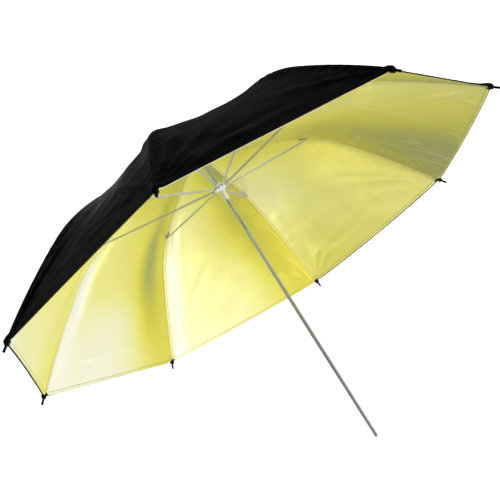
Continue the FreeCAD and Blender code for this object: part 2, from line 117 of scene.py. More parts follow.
def rib_line(along):
    """Radius, height and slope of the rib's line at distances along it from the notch pivot."""
    along = np.asarray(along, float)
    radius = np.full(along.shape, PIVOT_RADIUS)
    height = np.full(along.shape, PIVOT_HEIGHT)
    slope = np.full(along.shape, SLOPES[0])
    start = 0.0
    for i, (arc, length) in enumerate(zip((INNER_ARC, SHOULDER_ARC, OUTER_ARC), ARC_LENGTHS)):
        low = -math.inf if i == 0 else 0.0
        high = math.inf if i == 2 else length
        part = np.clip(along - start, low, high)
        begin = SLOPES[i]
        end = begin + part / arc
        radius = radius + arc * (np.sin(end) - np.sin(begin))
        height = height - arc * (np.cos(begin) - np.cos(end))
        slope = np.where(along > start, end, slope) if i else end
        start += length
    return radius, height, slope


def flex_distance():
    """Distance along the rib to the point where its bend is gathered."""
    trial = np.linspace(0, RIB_LENGTH, 4000)
    radius, _, _ = rib_line(trial)
    return float(np.interp(FLEX_RADIUS, radius, trial))


FLEX_ALONG = flex_distance()


def radial(angle):
    return np.array([math.cos(angle), 0.0, math.sin(angle)])


def tangent(angle):
    return np.array([-math.sin(angle), 0.0, math.cos(angle)])


AXIS = np.array([0.0, 1.0, 0.0])


# ---------------------------------------------------------------- wrinkles of a gore

def smooth(x, low, high):
    x = np.clip((x - low) / (high - low), 0, 1)
    return x * x * (3 - 2 * x)


def bump(x, middle, width):
    return np.exp(-((x - middle) / width) ** 2)


class Gore:
    """The fabric between two ribs: its sag and its folds, the same for cover and lining.
    along is the distance from the crown, across the distance from the gore's middle."""

    def __init__(self, number):
        self.number = number
        self.random = np.random.default_rng(700 + number)
        self.folds = self.make_folds()
        self.waves = self.make_waves()
        self.fans = [self.make_fan() for _ in range(2)]
        self.puckers = [self.make_puckers() for _ in range(2)]

    def make_folds(self):
        """Long tension folds: (start, end, height, width) in (along, across)."""
        rng = self.random
        half_rim = self.half_width(RIB_LENGTH)
        folds = []
        for side in (-1, 1):
            for _ in range(3):
                # from a tip up towards the middle of the shoulder
                start = np.array([RIB_LENGTH - 0.01, side * (half_rim - 0.006)])
                stop = np.array([rng.uniform(0.25, 0.4), side * rng.uniform(0.0, 0.10)])
                folds.append((start, stop, rng.uniform(0.0010, 0.0024), rng.uniform(0.007, 0.014)))
            for _ in range(2):
                # beside the seam, nearly parallel to it
                share = rng.uniform(0.80, 0.92)
                first, last = rng.uniform(0.12, 0.2), rng.uniform(0.36, 0.5)
                start = np.array([first, side * share * self.half_width(first)])
                stop = np.array([last, side * (share + 0.04) * self.half_width(last)])
                folds.append((start, stop, rng.uniform(0.0008, 0.0018), rng.uniform(0.006, 0.010)))
        for _ in range(3):
            # along the rim, pulled tight from tip to tip
            level = RIB_LENGTH - rng.uniform(0.015, 0.06)
            start = np.array([level, -0.8 * half_rim])
            stop = np.array([level + rng.uniform(-0.02, 0.01), 0.8 * half_rim])
            folds.append((start, stop, rng.uniform(0.0006, 0.0014), rng.uniform(0.007, 0.012)))
        return folds

    def make_waves(self):
        """Shallow unevenness: (direction, wavelength, phase, height)."""
        rng = self.random
        waves = []
        for _ in range(26):
            turn = rng.uniform(0, math.pi)
            length = rng.uniform(0.035, 0.12)
            waves.append((math.cos(turn), math.sin(turn), length, rng.uniform(0, 6.3), 0.0022 * length / 0.1))
        return waves

    def make_fan(self):
        """Folds round a tip: (folds per radian, phase, share of the height)."""
        rng = self.random
        return [(rng.uniform(9, 24), rng.uniform(0, 6.3), rng.uniform(0.4, 1.0)) for _ in range(4)]

    def make_puckers(self):
        """Ripples along a seam: (wavelength, phase, share of the height)."""
        rng = self.random
        return [(rng.uniform(0.011, 0.03), rng.uniform(0, 6.3), rng.uniform(0.4, 1.0)) for _ in range(5)]

    def middle_angle(self):
        """Angle round the shaft of the gore's middle."""
        return FIRST_ANGLE + HALF_PITCH * (2 * self.number + 1)

    @staticmethod
    def half_width(along):
        radius, _, _ = rib_line(along)
        return radius * math.sin(HALF_PITCH)

    def sag(self, along, share, depth):
        """How far the taut panel lies inside the straight line between its ribs."""
        depth = depth * bump(along, 0.265, 0.14)
        across = 1.4 * (1 - share ** 2) - 0.4 * (1 - share ** 4)
        return -depth * across * smooth(along, 0, 0.06)

    def height(self, along, share, depth, crumple):
        """Inward or outward offset of the gore, zero at its two ribs."""
        half = self.half_width(along)
        across = share * half
        from_rib = half - np.abs(across)
        offset = self.sag(along, share, depth)
        to_rim = RIB_LENGTH + RIM_REACH - along
        fade = smooth(from_rib, 0.0, 0.022) * smooth(along, 0.03, 0.12)
        fade = fade * (0.12 + 0.88 * smooth(to_rim, 0.004, 0.05))
        for start, stop, tall, wide in self.folds:
            offset = offset + crumple * fade * fold(along, across, start, stop, tall, wide)
        for cosine, sine, length, phase, tall in self.waves:
            turned = (along * cosine + across * sine) * 2 * math.pi / length
            offset = offset + crumple * fade * tall * 0.12 * np.sin(turned + phase)
        for side, fan in zip((-1, 1), self.fans):
            offset = offset + crumple * fan_folds(along, side * across, half, fan)
        for side, puckers in zip((-1, 1), self.puckers):
            near = half - side * across
            local = np.exp(-near / 0.016) * (1 - np.exp(-near / 0.004)) * smooth(along, 0.05, 0.12)
            ripple = sum(t * np.sin(2 * math.pi * along / w + p) for w, p, t in puckers)
            offset = offset + 0.0008 * crumple * local * ripple
        return offset

    def rim_pull(self, share):
        """How far the rim's middle is drawn up from the straight line between its tips: the
        canopy is pulled a little towards one side."""
        angle = self.middle_angle()
        return (0.0042 * math.cos(angle - PULLED_SIDE) - 0.0008) * (1 - share ** 2)


def fold(along, across, start, stop, tall, wide):
    """A soft ridge with a hollow beside it, fading at both ends."""
    run = stop - start
    length = math.hypot(*run)
    run = run / length
    here = (along - start[0]) * run[0] + (across - start[1]) * run[1]
    off = -(along - start[0]) * run[1] + (across - start[1]) * run[0]
    ends = smooth(here, 0.0, 0.25 * length) * (1 - smooth(here, 0.65 * length, length))
    spread = wide * (0.5 + here.clip(0, length) / length)
    x = off / spread
    return tall * ends * (np.exp(-x ** 2) - 0.55 * np.exp(-((x - 1.6) / 1.2) ** 2))


def fan_folds(along, across, half, fan):
    """Short folds that spread from a rib's tip over the corner of the gore."""
    down = RIB_LENGTH - along
    side = half - across
    away = np.sqrt(down ** 2 + side ** 2) + 1e-6
    turn = np.arctan2(down, side)
    reach = (away / 0.045) * np.exp(1 - away / 0.045)
    edge = smooth(side, 0.0, 0.012)
    wave = sum(t * np.sin(n * turn + p) for n, p, t in fan)
    return 0.00035 * reach * edge * wave * smooth(down, -0.002, 0.02)


GORES = [Gore(g) for g in range(RIBS)]


# ---------------------------------------------------------------- fabric sheets

def columns():
    """Shares from a rib (0) to the gore's middle (1), closer together near the rib."""
    t = np.linspace(0, 1, COLUMNS + 1)
    return 0.36 * t + 0.64 * t ** 2.1


# how far each layer sags between the ribs, and how much of the folds it shows
SAG = {"cover": 0.0095, "lining": 0.0165}
CRUMPLE = {"cover": 1.0, "lining": 0.4}
LAYER_GAP = 0.0009
NEAR_GORE = 1
# how far the lining's edge stands out past the cover's edge, where it isn't the usual shortfall
LINING_SHORT = -0.0015
LINING_EDGE = {NEAR_GORE: 0.0010, 6: -0.0035}
CURL = 0.0018
# how sharply the lining is creased, by gore, and how strongly its creases carry a painted highlight
CREASE_AND_HIGHLIGHT_BY_GORE = {0: 0.5, 4: 0.15, 5: 0.1, 6: 0.2, 7: 1.0}


def cover_offset(along, from_rib):
    """Height of the cover above the rib's line: it rides over the rib and over the tip's head."""
    over_rib = 0.0023 * bump(from_rib, 0, 0.011)
    over_head = 0.0026 * bump(from_rib, 0, 0.0065) * smooth(along, RIB_LENGTH - 0.016, RIB_LENGTH - 0.006)
    under_washer = -0.0012 * (1 - smooth(along, 0.002, 0.02))
    return 0.0008 + over_rib + over_head + under_washer


def lining_offset(along, from_rib):
    """Depth of the lining below the rib's line."""
    return -0.0006 - 0.0018 * bump(from_rib, 0, 0.0055)


def sheet_point(gore, along, share, kind):
    """Points of a fabric sheet. share runs from -1 at rib g to 1 at the next rib."""
    angle = FIRST_ANGLE + 2 * HALF_PITCH * gore.number
    radius, height, slope = rib_line(along)
    half = radius * math.sin(HALF_PITCH)
    middle = radial(angle + HALF_PITCH)
    chord = tangent(angle + HALF_PITCH)
    lean = np.arctan(np.tan(slope) / math.cos(HALF_PITCH))
    flat_radius = radius * math.cos(HALF_PITCH)
    point = (flat_radius[..., None] * middle + height[..., None] * AXIS
             + (share * half)[..., None] * chord)
    gore_normal = np.sin(lean)[..., None] * middle + np.cos(lean)[..., None] * AXIS
    near = np.where(share < 0, -1.0, 1.0)
    rib_radial = np.where(near[..., None] < 0, radial(angle), radial(angle + 2 * HALF_PITCH))
    rib_normal = np.sin(slope)[..., None] * rib_radial + np.cos(slope)[..., None] * AXIS
    from_rib = half * (1 - np.abs(share))
    mix = smooth(from_rib, 0.0, 0.016)[..., None]
    normal = rib_normal * (1 - mix) + gore_normal * mix
    normal = normal / np.linalg.norm(normal, axis=-1, keepdims=True)
    rise = cover_offset(along, from_rib) + gore.height(along, share, SAG["cover"], CRUMPLE["cover"])
    if kind == "lining":
        inner = lining_offset(along, from_rib) + gore.height(along, share, SAG[kind], CRUMPLE[kind])
        rise = np.minimum(inner, rise - LAYER_GAP)
    return point + rise[..., None] * normal


def sheet_normals(gore, along, share, kind):
    """Normals from the surface itself, so that neighbouring pieces shade as one sheet."""
    step = NORMAL_STEP
    half = gore.half_width(along)
    sideways = step / half
    # one-sided at a rib, where the sheet has a crease
    low = np.maximum(share - sideways, -1.0)
    high = np.minimum(share + sideways, 1.0)
    across = sheet_point(gore, along, high, kind) - sheet_point(gore, along, low, kind)
    down = sheet_point(gore, along + step, share, kind) - sheet_point(gore, along - step, share, kind)
    normal = np.cross(across, down)
    normal = normal / np.linalg.norm(normal, axis=-1, keepdims=True)
    outward = radial(gore.middle_angle()) + AXIS
    return normal * np.sign(normal @ outward)[..., None]


def facing(angle, side, sharpness):
    """1 for a gore whose middle is at the given side (degrees), less for the gores beside it."""
    return max(0, math.cos(angle - math.radians(side))) ** sharpness


def lustre(gore, along, share):
    """Painted tone of the lining, 0 dull to 1 pale. It stands in for the soft reflections of a
    studio around the canopy, so it belongs to the gore and doesn't move with the view."""
    angle = gore.middle_angle()
    ahead, aside = math.cos(angle), math.sin(angle)
    out = (along - 0.3) / 0.2
    # level and slope are a painted gradient of light across each gore
    level = -0.05 * (ahead + aside) - out * (0.115 * ahead + 0.085 * aside)
    slope = 0.14 + 0.36 * aside + 0.05 * ahead + out * (0.145 * ahead - 0.16 * aside - 0.1)
    lower_left = facing(angle, 225, 3)
    lower = facing(angle, 270, 6)
    lower_right = facing(angle, 315, 4)
    right = facing(angle, 0, 6)
    # crown, crescent, band and shade below are painted shade; stripe, patch and glow are painted reflection
    crown = 0.12 * (1 - smooth(along, 0.06, 0.19))
    crescent = 0.5 * lower_left * bump(share, 0.30 + 0.75 * along, 0.25) * bump(along, 0.29, 0.15)
    stripe = 0.42 * lower_left * bump(share, -0.86, 0.09) * smooth(along, 0.2, 0.36)
    stripe = stripe + 0.2 * lower_left * bump(share, -0.1, 0.5) * smooth(along, 0.33, 0.43)
    band = 0.17 * lower * bump(share, 0.78, 0.25)
    shade = 0.3 * right * bump(share, -0.35, 0.5) * smooth(along, 0.1, 0.25)
    patch = 0.12 * bump(share, -0.5, 0.6) * bump(along, 0.27, 0.09)
    glow = lower_right * (0.12 * smooth(along, 0.08, 0.2) + patch)
    tone = 0.5 + level + slope * share - crown - crescent + stripe - band - shade + glow
    return np.clip(tone, 0, 1)


def warmth(gore, along, share):
    """Where the lining's gold is painted deeper, 0 to 1: beside the lowest gore's right seam, a painted reflection
    of the gold gore beside it.
    """
    lower = facing(gore.middle_angle(), 270, 6)
    return lower * bump(share, 0.92, 0.26) * smooth(along, 0.12, 0.24)


def closed_sheet(name, grid, normals, keep, sheet, uv, marks):
    """A thin closed shell from a grid of points: two faces, and a wall round every edge."""
    rows, cols = grid.shape[:2]
    front = (grid + normals * sheet / 2).reshape(-1, 3)
    back = (grid - normals * sheet / 2).reshape(-1, 3)
    count = rows * cols
    index = np.arange(count).reshape(rows, cols)
    quads = np.stack([index[:-1, :-1], index[:-1, 1:], index[1:, 1:], index[1:, :-1]], -1)[keep]
    corner = grid.reshape(-1, 3)[quads[0]]
    facing = np.cross(corner[1] - corner[0], corner[3] - corner[0]) @ normals.reshape(-1, 3)[quads[0][0]]
    if facing < 0:
        quads = quads[:, ::-1]
    edges = {}
    for quad in quads.tolist():
        for a, b in zip(quad, quad[1:] + quad[:1]):
            edges[(a, b)] = True
    walls = [[b, a, a + count, b + count] for a, b in edges if (b, a) not in edges]
    faces = quads.tolist() + (quads[:, ::-1] + count).tolist() + walls
    points = np.concatenate([front, back])
    used = np.zeros(len(points), bool)
    used[np.unique(np.concatenate([np.ravel(f) for f in faces]))] = True
    renumber = np.cumsum(used) - 1
    mesh = bpy.data.meshes.new(name)
    mesh.from_pydata(points[used].tolist(), [], [[int(renumber[i]) for i in f] for f in faces])
    both = np.concatenate([normals.reshape(-1, 3), -normals.reshape(-1, 3)])
    loops = []
    for number, face in enumerate(faces):
        if number < 2 * len(quads):
            loops.extend(both[i] for i in face)
        else:
            a, b, c = (points[i] for i in face[:3])
            flat = np.cross(b - a, c - a)
            loops.extend([flat / (np.linalg.norm(flat) + 1e-12)] * len(face))
    mesh.polygons.foreach_set("use_smooth", np.ones(len(faces), bool))
    places = np.concatenate([uv.reshape(-1, 2), uv.reshape(-1, 2)])
    layer = mesh.uv_layers.new(name="cloth")
    corners = np.concatenate([places[f] for f in faces])
    layer.data.foreach_set("uv", corners.astype(np.float32).ravel())
    for label, values in marks.items():
        mark = mesh.attributes.new(label, "FLOAT", "POINT")
        mark.data.foreach_set("value", np.tile(values.ravel(), 2)[used].astype(np.float32))
    mesh.normals_split_custom_set([tuple(n) for n in loops])
    mesh.update()
    piece = bpy.data.objects.new(name, mesh)
    bpy.context.scene.collection.objects.link(piece)
    return piece


BANDS = ("crown", "middle", "rim")


def band_rows(band, kind, rim):
    """Distances along the rib of a band's rows: one row of numbers for each column."""
    if band == "crown":
        first, last = CROWN_EDGE[kind], COLLAR
    elif band == "middle":
        first, last = COLLAR, FLEX_ALONG
    else:
        first, last = FLEX_ALONG, RIB_LENGTH - 2 * HEM
    t = np.linspace(0, 1, round((last - first) / ROW_PITCH) + 1)[:, None]
    if band == "rim":
        along = first + t * (rim - 2 * HEM - first)[None, :]
        hem = np.array(HEM_ROWS)[:, None] * HEM
        along = np.concatenate([along, rim[None, :] - hem])
    else:
        along = first + t * (last - first) * np.ones_like(rim)[None, :]
    if band != "crown":
        # these rows lie under the band before
        lap = np.array((LAP, 0.6 * LAP, LAP_END))[:, None] * np.ones_like(rim)[None, :]
        along = np.concatenate([first - lap, along])
    return along


def half_gore(kind, rib, side, band):
    """One piece of a fabric layer: between a rib and the middle of the gore beside it, and one
    of the three bands from crown to rim. The last one starts at the rib's bend."""
    gore = GORES[rib if side > 0 else (rib - 1) % RIBS]
    from_rib = columns()
    share = side * (from_rib - 1) if side > 0 else 1 - from_rib
    rim = RIB_LENGTH + RIM_REACH - gore.rim_pull(share)
    if kind == "lining":
        # shy of the cover's edge, but past it on the near gore, where it curls out over it
        rim = rim + LINING_EDGE.get(gore.number, LINING_SHORT)
        beside = gore.half_width(RIB_LENGTH) * from_rib
        rim = rim - CORNER_CUT * bump(beside, 0, 0.0065)
    along = band_rows(band, kind, rim)
    share = np.broadcast_to(share[None, :], along.shape)
    grid = sheet_point(gore, along, share, kind)
    normals = sheet_normals(gore, along, share, kind)
    # the hem is turned under, so it stands a cloth's thickness proud of the sheet
    turned = 1 - smooth(rim[None, :] - along, 0.94 * HEM, 1.06 * HEM)
    inward = -1 if kind == "cover" else 1
    grid = grid + (HEM_RISE[kind] * turned)[..., None] * normals
    if band != "crown":
        # the lap is hidden between the two layers
        start = COLLAR if band == "middle" else FLEX_ALONG
        under = 1 - smooth(along, start - LAP_END, start)
        grid = grid + (inward * LAP_DEPTH * under)[..., None] * normals
    if kind == "lining" and gore.number == NEAR_GORE:
        curl = (1 - smooth(rim[None, :] - along, 0.0, 0.0009))[..., None]
        down = (sheet_point(gore, along + NORMAL_STEP, share, kind)
                - sheet_point(gore, along - NORMAL_STEP, share, kind))
        down = down / np.linalg.norm(down, axis=-1, keepdims=True)
        grid = grid + CURL * curl * normals
        normals = normals * (1 - curl) - down * curl
    keep = np.ones((grid.shape[0] - 1, grid.shape[1] - 1), bool)
    if kind == "lining":
        # a slit in the seam lets the rib's bracket through
        middle = (along[:-1, :-1] + along[1:, 1:]) / 2
        beside = gore.half_width(middle) * (from_rib[:-1] + from_rib[1:])[None, :] / 2
        slit = (middle > FLEX_ALONG - SLIT_BEFORE) & (middle < FLEX_ALONG + SLIT_AFTER)
        keep &= ~((beside < SLIT_HALF) & slit)
    uv = np.stack([share * gore.half_width(along) + 0.5 * gore.number, rim[None, :] - along], -1)
    # the edge that is turned out is painted paler where it catches the light: a painted highlight
    bright = 0.5 * (1 - smooth(rim[None, :] - along, 0.001, 0.003)) * (gore.number == NEAR_GORE)
    marks = {
        "beside": gore.half_width(along) * (1 - np.abs(share)),
        "to_rim": rim[None, :] - along,
        # painted reflection and shade of the lining, with a painted highlight on the turned-out edge
        "lustre": np.clip(lustre(gore, along, share) + bright, 0, 1),
        # painted reflection of gold on gold beside one seam
        "warmth": warmth(gore, along, share),
        # strength of the creases and of the painted highlight on them
        "crease_and_highlight_share": np.full(along.shape, CREASE_AND_HIGHLIGHT_BY_GORE.get(gore.number, 0.3)),
    }
    hand = "a" if side > 0 else "b"
    return closed_sheet(f"{kind}_{band}_{rib + 1}{hand}", grid, normals, keep, SHEET, uv, marks)


def seam_strip(rib):
    """The seam over a rib: a strip of the cover's cloth from the crown to the rim."""
    across = np.linspace(-1, 1, 13)
    rim = np.full(across.shape, RIB_LENGTH + RIM_REACH - 0.0004)
    first = CROWN_EDGE["cover"]
    t = np.linspace(0, 1, round((RIB_LENGTH - first) / ROW_PITCH) + 1)[:, None]
    along = first + t * (rim - 2 * HEM - first)[None, :]
    along = np.concatenate([along, rim[None, :] - np.array(HEM_ROWS)[:, None] * HEM])
    half = GORES[rib].half_width(along)
    reach = np.minimum(STRIP_HALF, 0.8 * half)
    aside = across[None, :] * reach
    parts = []
    for side, gore in ((1, GORES[rib]), (-1, GORES[rib - 1])):
        share = -side * (1 - np.abs(aside) / half)
        parts.append((sheet_point(gore, along, share, "cover"), sheet_normals(gore, along, share, "cover")))
    # each half of the strip follows the gore on its side, and both meet over the rib
    weight = np.where(across < 0, 0.0, np.where(across > 0, 1.0, 0.5))[None, :, None]
    grid = weight * parts[0][0] + (1 - weight) * parts[1][0]
    normals = weight * parts[0][1] + (1 - weight) * parts[1][1]
    normals = normals / np.linalg.norm(normals, axis=-1, keepdims=True)
    turned = 1 - smooth(rim[None, :] - along, 0.94 * HEM, 1.06 * HEM)
    grid = grid + (STRIP_LIFT + HEM_RISE["cover"] * turned)[..., None] * normals
    keep = np.ones((grid.shape[0] - 1, grid.shape[1] - 1), bool)
    uv = np.stack([aside + rib, rim[None, :] - along], -1)
    marks = {"beside": np.abs(aside), "to_rim": rim[None, :] - along}
    return closed_sheet(f"seam_{rib + 1}", grid, normals, keep, SHEET, uv, marks)


# ---------------------------------------------------------------- materials

class Nodes:
    """Small helper for building a material's node tree."""

    def __init__(self, name):
        self.material = bpy.data.materials.new(name)
        self.material.use_nodes = True
        self.tree = self.material.node_tree
        self.surface = self.tree.nodes["Principled BSDF"]

    def add(self, kind, **inputs):
        node = self.tree.nodes.new(kind)
        for key, value in inputs.items():
            self.feed(node, key.replace("_", " "), value)
        return node

    def feed(self, node, key, value):
        socket = node.inputs[int(key)] if key.isdigit() else node.inputs[key]
        if isinstance(value, bpy.types.NodeSocket):
            self.tree.links.new(value, socket)
        else:
            socket.default_value = value

    def set(self, **inputs):
        for key, value in inputs.items():
            self.feed(self.surface, key.replace("_", " "), value)

    def math(self, operation, a, b=0.0, c=0.0):
        node = self.tree.nodes.new("ShaderNodeMath")
        node.operation = operation
        for i, value in enumerate((a, b, c)):
            self.feed(node, str(i), value)
        return node.outputs[0]

    def noise(self, vector, scale, detail=2.0, roughness=0.5):
        node = self.add("ShaderNodeTexNoise", Scale=scale, Detail=detail, Roughness=roughness)
        if vector is not None:
            self.feed(node, "Vector", vector)
        return node.outputs["Fac"]

    def ramp(self, value, stops):
        node = self.tree.nodes.new("ShaderNodeValToRGB")
        elements = node.color_ramp.elements
        while len(elements) < len(stops):
            elements.new(0.5)
        for element, (place, colour) in zip(elements, stops):
            element.position = place
            element.color = (*colour, 1) if len(colour) == 3 else colour
        self.feed(node, "Fac", value)
        return node.outputs["Color"]

    def grey(self, value, low, high):
        """Map 0..1 to low..high."""
        return self.math("MULTIPLY_ADD", value, high - low, low)

    def bump(self, height, distance, strength=1.0, under=None):
        node = self.add("ShaderNodeBump", Strength=strength, Distance=distance, Height=height)
        if under is not None:
            self.feed(node, "Normal", under)
        return node.outputs["Normal"]

    def place(self, output="Object"):
        return self.add("ShaderNodeTexCoord").outputs[output]

    def mark(self, label):
        """A number stored at every point of the mesh."""
        node = self.tree.nodes.new("ShaderNodeAttribute")
        node.attribute_name = label
        return node.outputs["Fac"]

    def mix(self, share, below, above):
        node = self.tree.nodes.new("ShaderNodeMix")
        node.data_type = "RGBA"
        self.tree.links.new(share, node.inputs["Factor"])
        for socket in node.inputs:
            if socket.name == "A" and socket.type == "RGBA":
                self.tree.links.new(below, socket)
            if socket.name == "B" and socket.type == "RGBA":
                socket.default_value = (*above, 1)
        return next(o for o in node.outputs if o.type == "RGBA")

    def uv(self):
        node = self.tree.nodes.new("ShaderNodeUVMap")
        node.uv_map = "cloth"
        return node.outputs["UV"]

    def stretched(self, vector, scale):
        node = self.tree.nodes.new("ShaderNodeMapping")
        self.feed(node, "Vector", vector)
        node.inputs["Scale"].default_value = scale
        return node.outputs["Vector"]

    def weave(self, vector, pitch):
        """Height of a plain weave with the given thread pitch in metres."""
        parts = self.add("ShaderNodeSeparateXYZ")
        self.feed(parts, "Vector", vector)
        turn = 2 * math.pi / pitch
        x = self.math("SINE", self.math("MULTIPLY", parts.outputs["X"], turn))
        y = self.math("SINE", self.math("MULTIPLY", parts.outputs["Y"], turn))
        return self.math("ABSOLUTE", self.math("ADD", x, y))


def dashes(n, along, across, place, width, pitch):
    """1 on the stitches of a row that runs at across = place."""
    off = n.math("ABSOLUTE", n.math("SUBTRACT", across, place))
    row = n.math("LESS_THAN", off, width)
    beat = n.math("FRACT", n.math("DIVIDE", along, pitch))
    return n.math("MULTIPLY", row, n.math("LESS_THAN", beat, 0.7))


def seam_marks(n, seam_place):
    """Stitches of hem and seams, the thin shadow line at the edge of each band, and the bands."""
    beside, to_rim = n.mark("beside"), n.mark("to_rim")
    run = n.add("ShaderNodeSeparateXYZ", Vector=n.uv())
    hem = dashes(n, run.outputs["X"], to_rim, 0.8 * HEM, STITCH_HALF, STITCH_PITCH)
    seam = dashes(n, to_rim, beside, 0.7 * seam_place, STITCH_HALF, STITCH_PITCH)
    stitches = n.math("MAXIMUM", hem, seam)
    edge = n.math("ABSOLUTE", n.math("SUBTRACT", beside, seam_place))
    hem_edge = n.math("ABSOLUTE", n.math("SUBTRACT", to_rim, HEM))
    near = n.math("MINIMUM", edge, hem_edge)
    line = n.math("SUBTRACT", 1.0, n.math("MULTIPLY", near, 1 / 0.0009))
    band = n.math("MAXIMUM", n.math("LESS_THAN", beside, seam_place), n.math("LESS_THAN", to_rim, HEM))
    return stitches, n.math("MAXIMUM", line, 0.0), band


def lining_material():
    """Metallised gold cloth: satin, finely crinkled, in the painted tone of reflection and shade that its pieces
    carry.
    """
    n = Nodes("gold_lining")
    uv = n.uv()
    drift = n.grey(n.noise(n.stretched(uv, (9, 5, 1)), 1.0, 3.0), -0.07, 0.07)
    tone = n.math("ADD", n.mark("lustre"), drift)
    # painted shade towards dull olive, painted reflection towards near-white
    colour = n.ramp(tone, [
        (0.0, (0.36, 0.38, 0.09)),
        (0.3, (0.60, 0.57, 0.018)),
        (0.5, (0.76, 0.71, 0.062)),
        (0.7, (0.85, 0.82, 0.26)),
        (0.85, (0.88, 0.87, 0.52)),
        (1.0, (0.90, 0.89, 0.74)),
    ])
    # a few long sharp creases that run from the crown to the rim: bumped, and painted paler as a painted highlight
    swing = n.math("ABSOLUTE", n.math("SUBTRACT", n.noise(n.stretched(uv, (42, 2.4, 1)), 1.0, 1.0), 0.5))
    crease_and_highlight = n.math("MAXIMUM", n.math("SUBTRACT", 1.0, n.math("MULTIPLY", swing, 38.0)), 0.0)
    crease_and_highlight = n.math("MULTIPLY", crease_and_highlight, n.mark("crease_and_highlight_share"))
    stitches, line, band = seam_marks(n, LINING_SEAM)
    # painted reflection: deeper gold where the gore beside it is reflected
    colour = n.mix(n.math("MULTIPLY", n.mark("warmth"), 0.5), colour, (0.84, 0.68, 0.03))
    # painted highlight along the creases
    colour = n.mix(n.math("MULTIPLY", crease_and_highlight, 0.22), colour, (0.95, 0.92, 0.45))
    # the seam and hem bands are painted paler: a painted highlight along seams and hem
    colour = n.mix(n.math("MULTIPLY", band, 0.25), colour, (0.86, 0.78, 0.20))
    colour = n.mix(n.math("MULTIPLY", line, 0.8), colour, (0.30, 0.22, 0.01))
    colour = n.mix(n.math("MULTIPLY", stitches, 0.5), colour, (0.50, 0.42, 0.08))
    crinkle = n.noise(uv, 160, 4.0, 0.62)
    rough = n.grey(n.noise(uv, 40, 2.0), 0.32, 0.44)
    normal = n.bump(crinkle, 0.0006, 0.35)
    normal = n.bump(crease_and_highlight, 0.0007, 0.5, normal)
    normal = n.bump(n.weave(uv, 0.0007), 0.00005, 0.35, normal)
    normal = n.bump(n.math("SUBTRACT", stitches, n.math("MULTIPLY", line, 1.5)), 0.00012, 0.8, normal)
    n.set(Base_Color=colour, Metallic=0.45, Roughness=rough, Normal=normal, Specular_IOR_Level=0.5)
    n.set(Coat_Weight=n.grey(tone, 0.35, 0.9), Coat_Roughness=0.4, Coat_IOR=1.7, Coat_Normal=normal)
    return n.material


def cover_material():
    """Black coated taffeta with a faint cool sheen."""
    n = Nodes("black_cover")
    uv = n.uv()
    tone = n.noise(n.stretched(uv, (14, 6, 1)), 1.0, 3.0)
    colour = n.ramp(tone, [(0.3, (0.0024, 0.0030, 0.0040)), (0.75, (0.0046, 0.0058, 0.0076))])
    stitches, line, _ = seam_marks(n, STRIP_HALF)
    colour = n.mix(n.math("MULTIPLY", stitches, 0.7), colour, (0.010, 0.012, 0.015))
    rough = n.grey(n.noise(uv, 30, 2.0), 0.44, 0.60)
    normal = n.bump(n.noise(uv, 120, 3.0, 0.6), 0.0005, 0.4)
    normal = n.bump(n.weave(uv, 0.0008), 0.00006, 0.5, normal)
    normal = n.bump(n.math("SUBTRACT", stitches, n.math("MULTIPLY", line, 1.5)), 0.00015, 0.8, normal)
    n.set(Base_Color=colour, Roughness=rough, Normal=normal, Specular_IOR_Level=0.12)
    n.set(Specular_Tint=(0.75, 0.87, 1.0, 1))
    return n.material


def metal_material(name, colour, rough, streak, metal=0.75):
    """Drawn or plated steel: streaks along the part, small pits and worn brightness."""
    n = Nodes(name)
    place = n.place()
    lines = n.noise(n.stretched(place, streak), 1.0, 3.0, 0.6)
    spots = n.noise(place, 900, 2.0)
    dark = tuple(c * 0.82 for c in colour)
    n.set(Base_Color=n.ramp(lines, [(0.3, dark), (0.7, colour)]), Metallic=metal)
    n.set(Roughness=n.grey(n.math("ADD", n.math("MULTIPLY", lines, 0.6), n.math("MULTIPLY", spots, 0.4)),
                           rough - 0.08, rough + 0.1))
    n.set(Normal=n.bump(lines, 0.00004, 0.4, n.bump(spots, 0.00003, 0.25)))
    return n.material


def plastic_material(name, colour, rough, coat, shine=0.5):
    """Moulded plastic with a fine skin texture and a slight unevenness of colour."""
    n = Nodes(name)
    place = n.place()
    tone = n.noise(place, 90, 3.0)
    dark = tuple(c * 0.9 for c in colour)
    skin = n.noise(place, 2500, 2.0)
    n.set(Base_Color=n.ramp(tone, [(0.35, dark), (0.65, colour)]))
    n.set(Roughness=n.grey(n.noise(place, 300, 2.0), rough - 0.06, rough + 0.08))
    n.set(Normal=n.bump(skin, 0.00003, 0.35), Coat_Weight=coat, Coat_Roughness=0.25)
    n.set(Specular_IOR_Level=shine)
    return n.material


def floor_material():
    """White, and lit by itself only as the camera sees it."""
    n = Nodes("floor_white")
    tone = n.noise(n.place(), 1.5, 2.0)
    pale = n.ramp(tone, [(0.0, (0.93, 0.93, 0.93)), (1.0, (0.96, 0.96, 0.96))])
    n.set(Base_Color=pale, Roughness=0.7)
    n.set(Emission_Color=(1, 1, 1, 1))
    n.set(Emission_Strength=n.add("ShaderNodeLightPath").outputs["Is Camera Ray"])
    return n.material


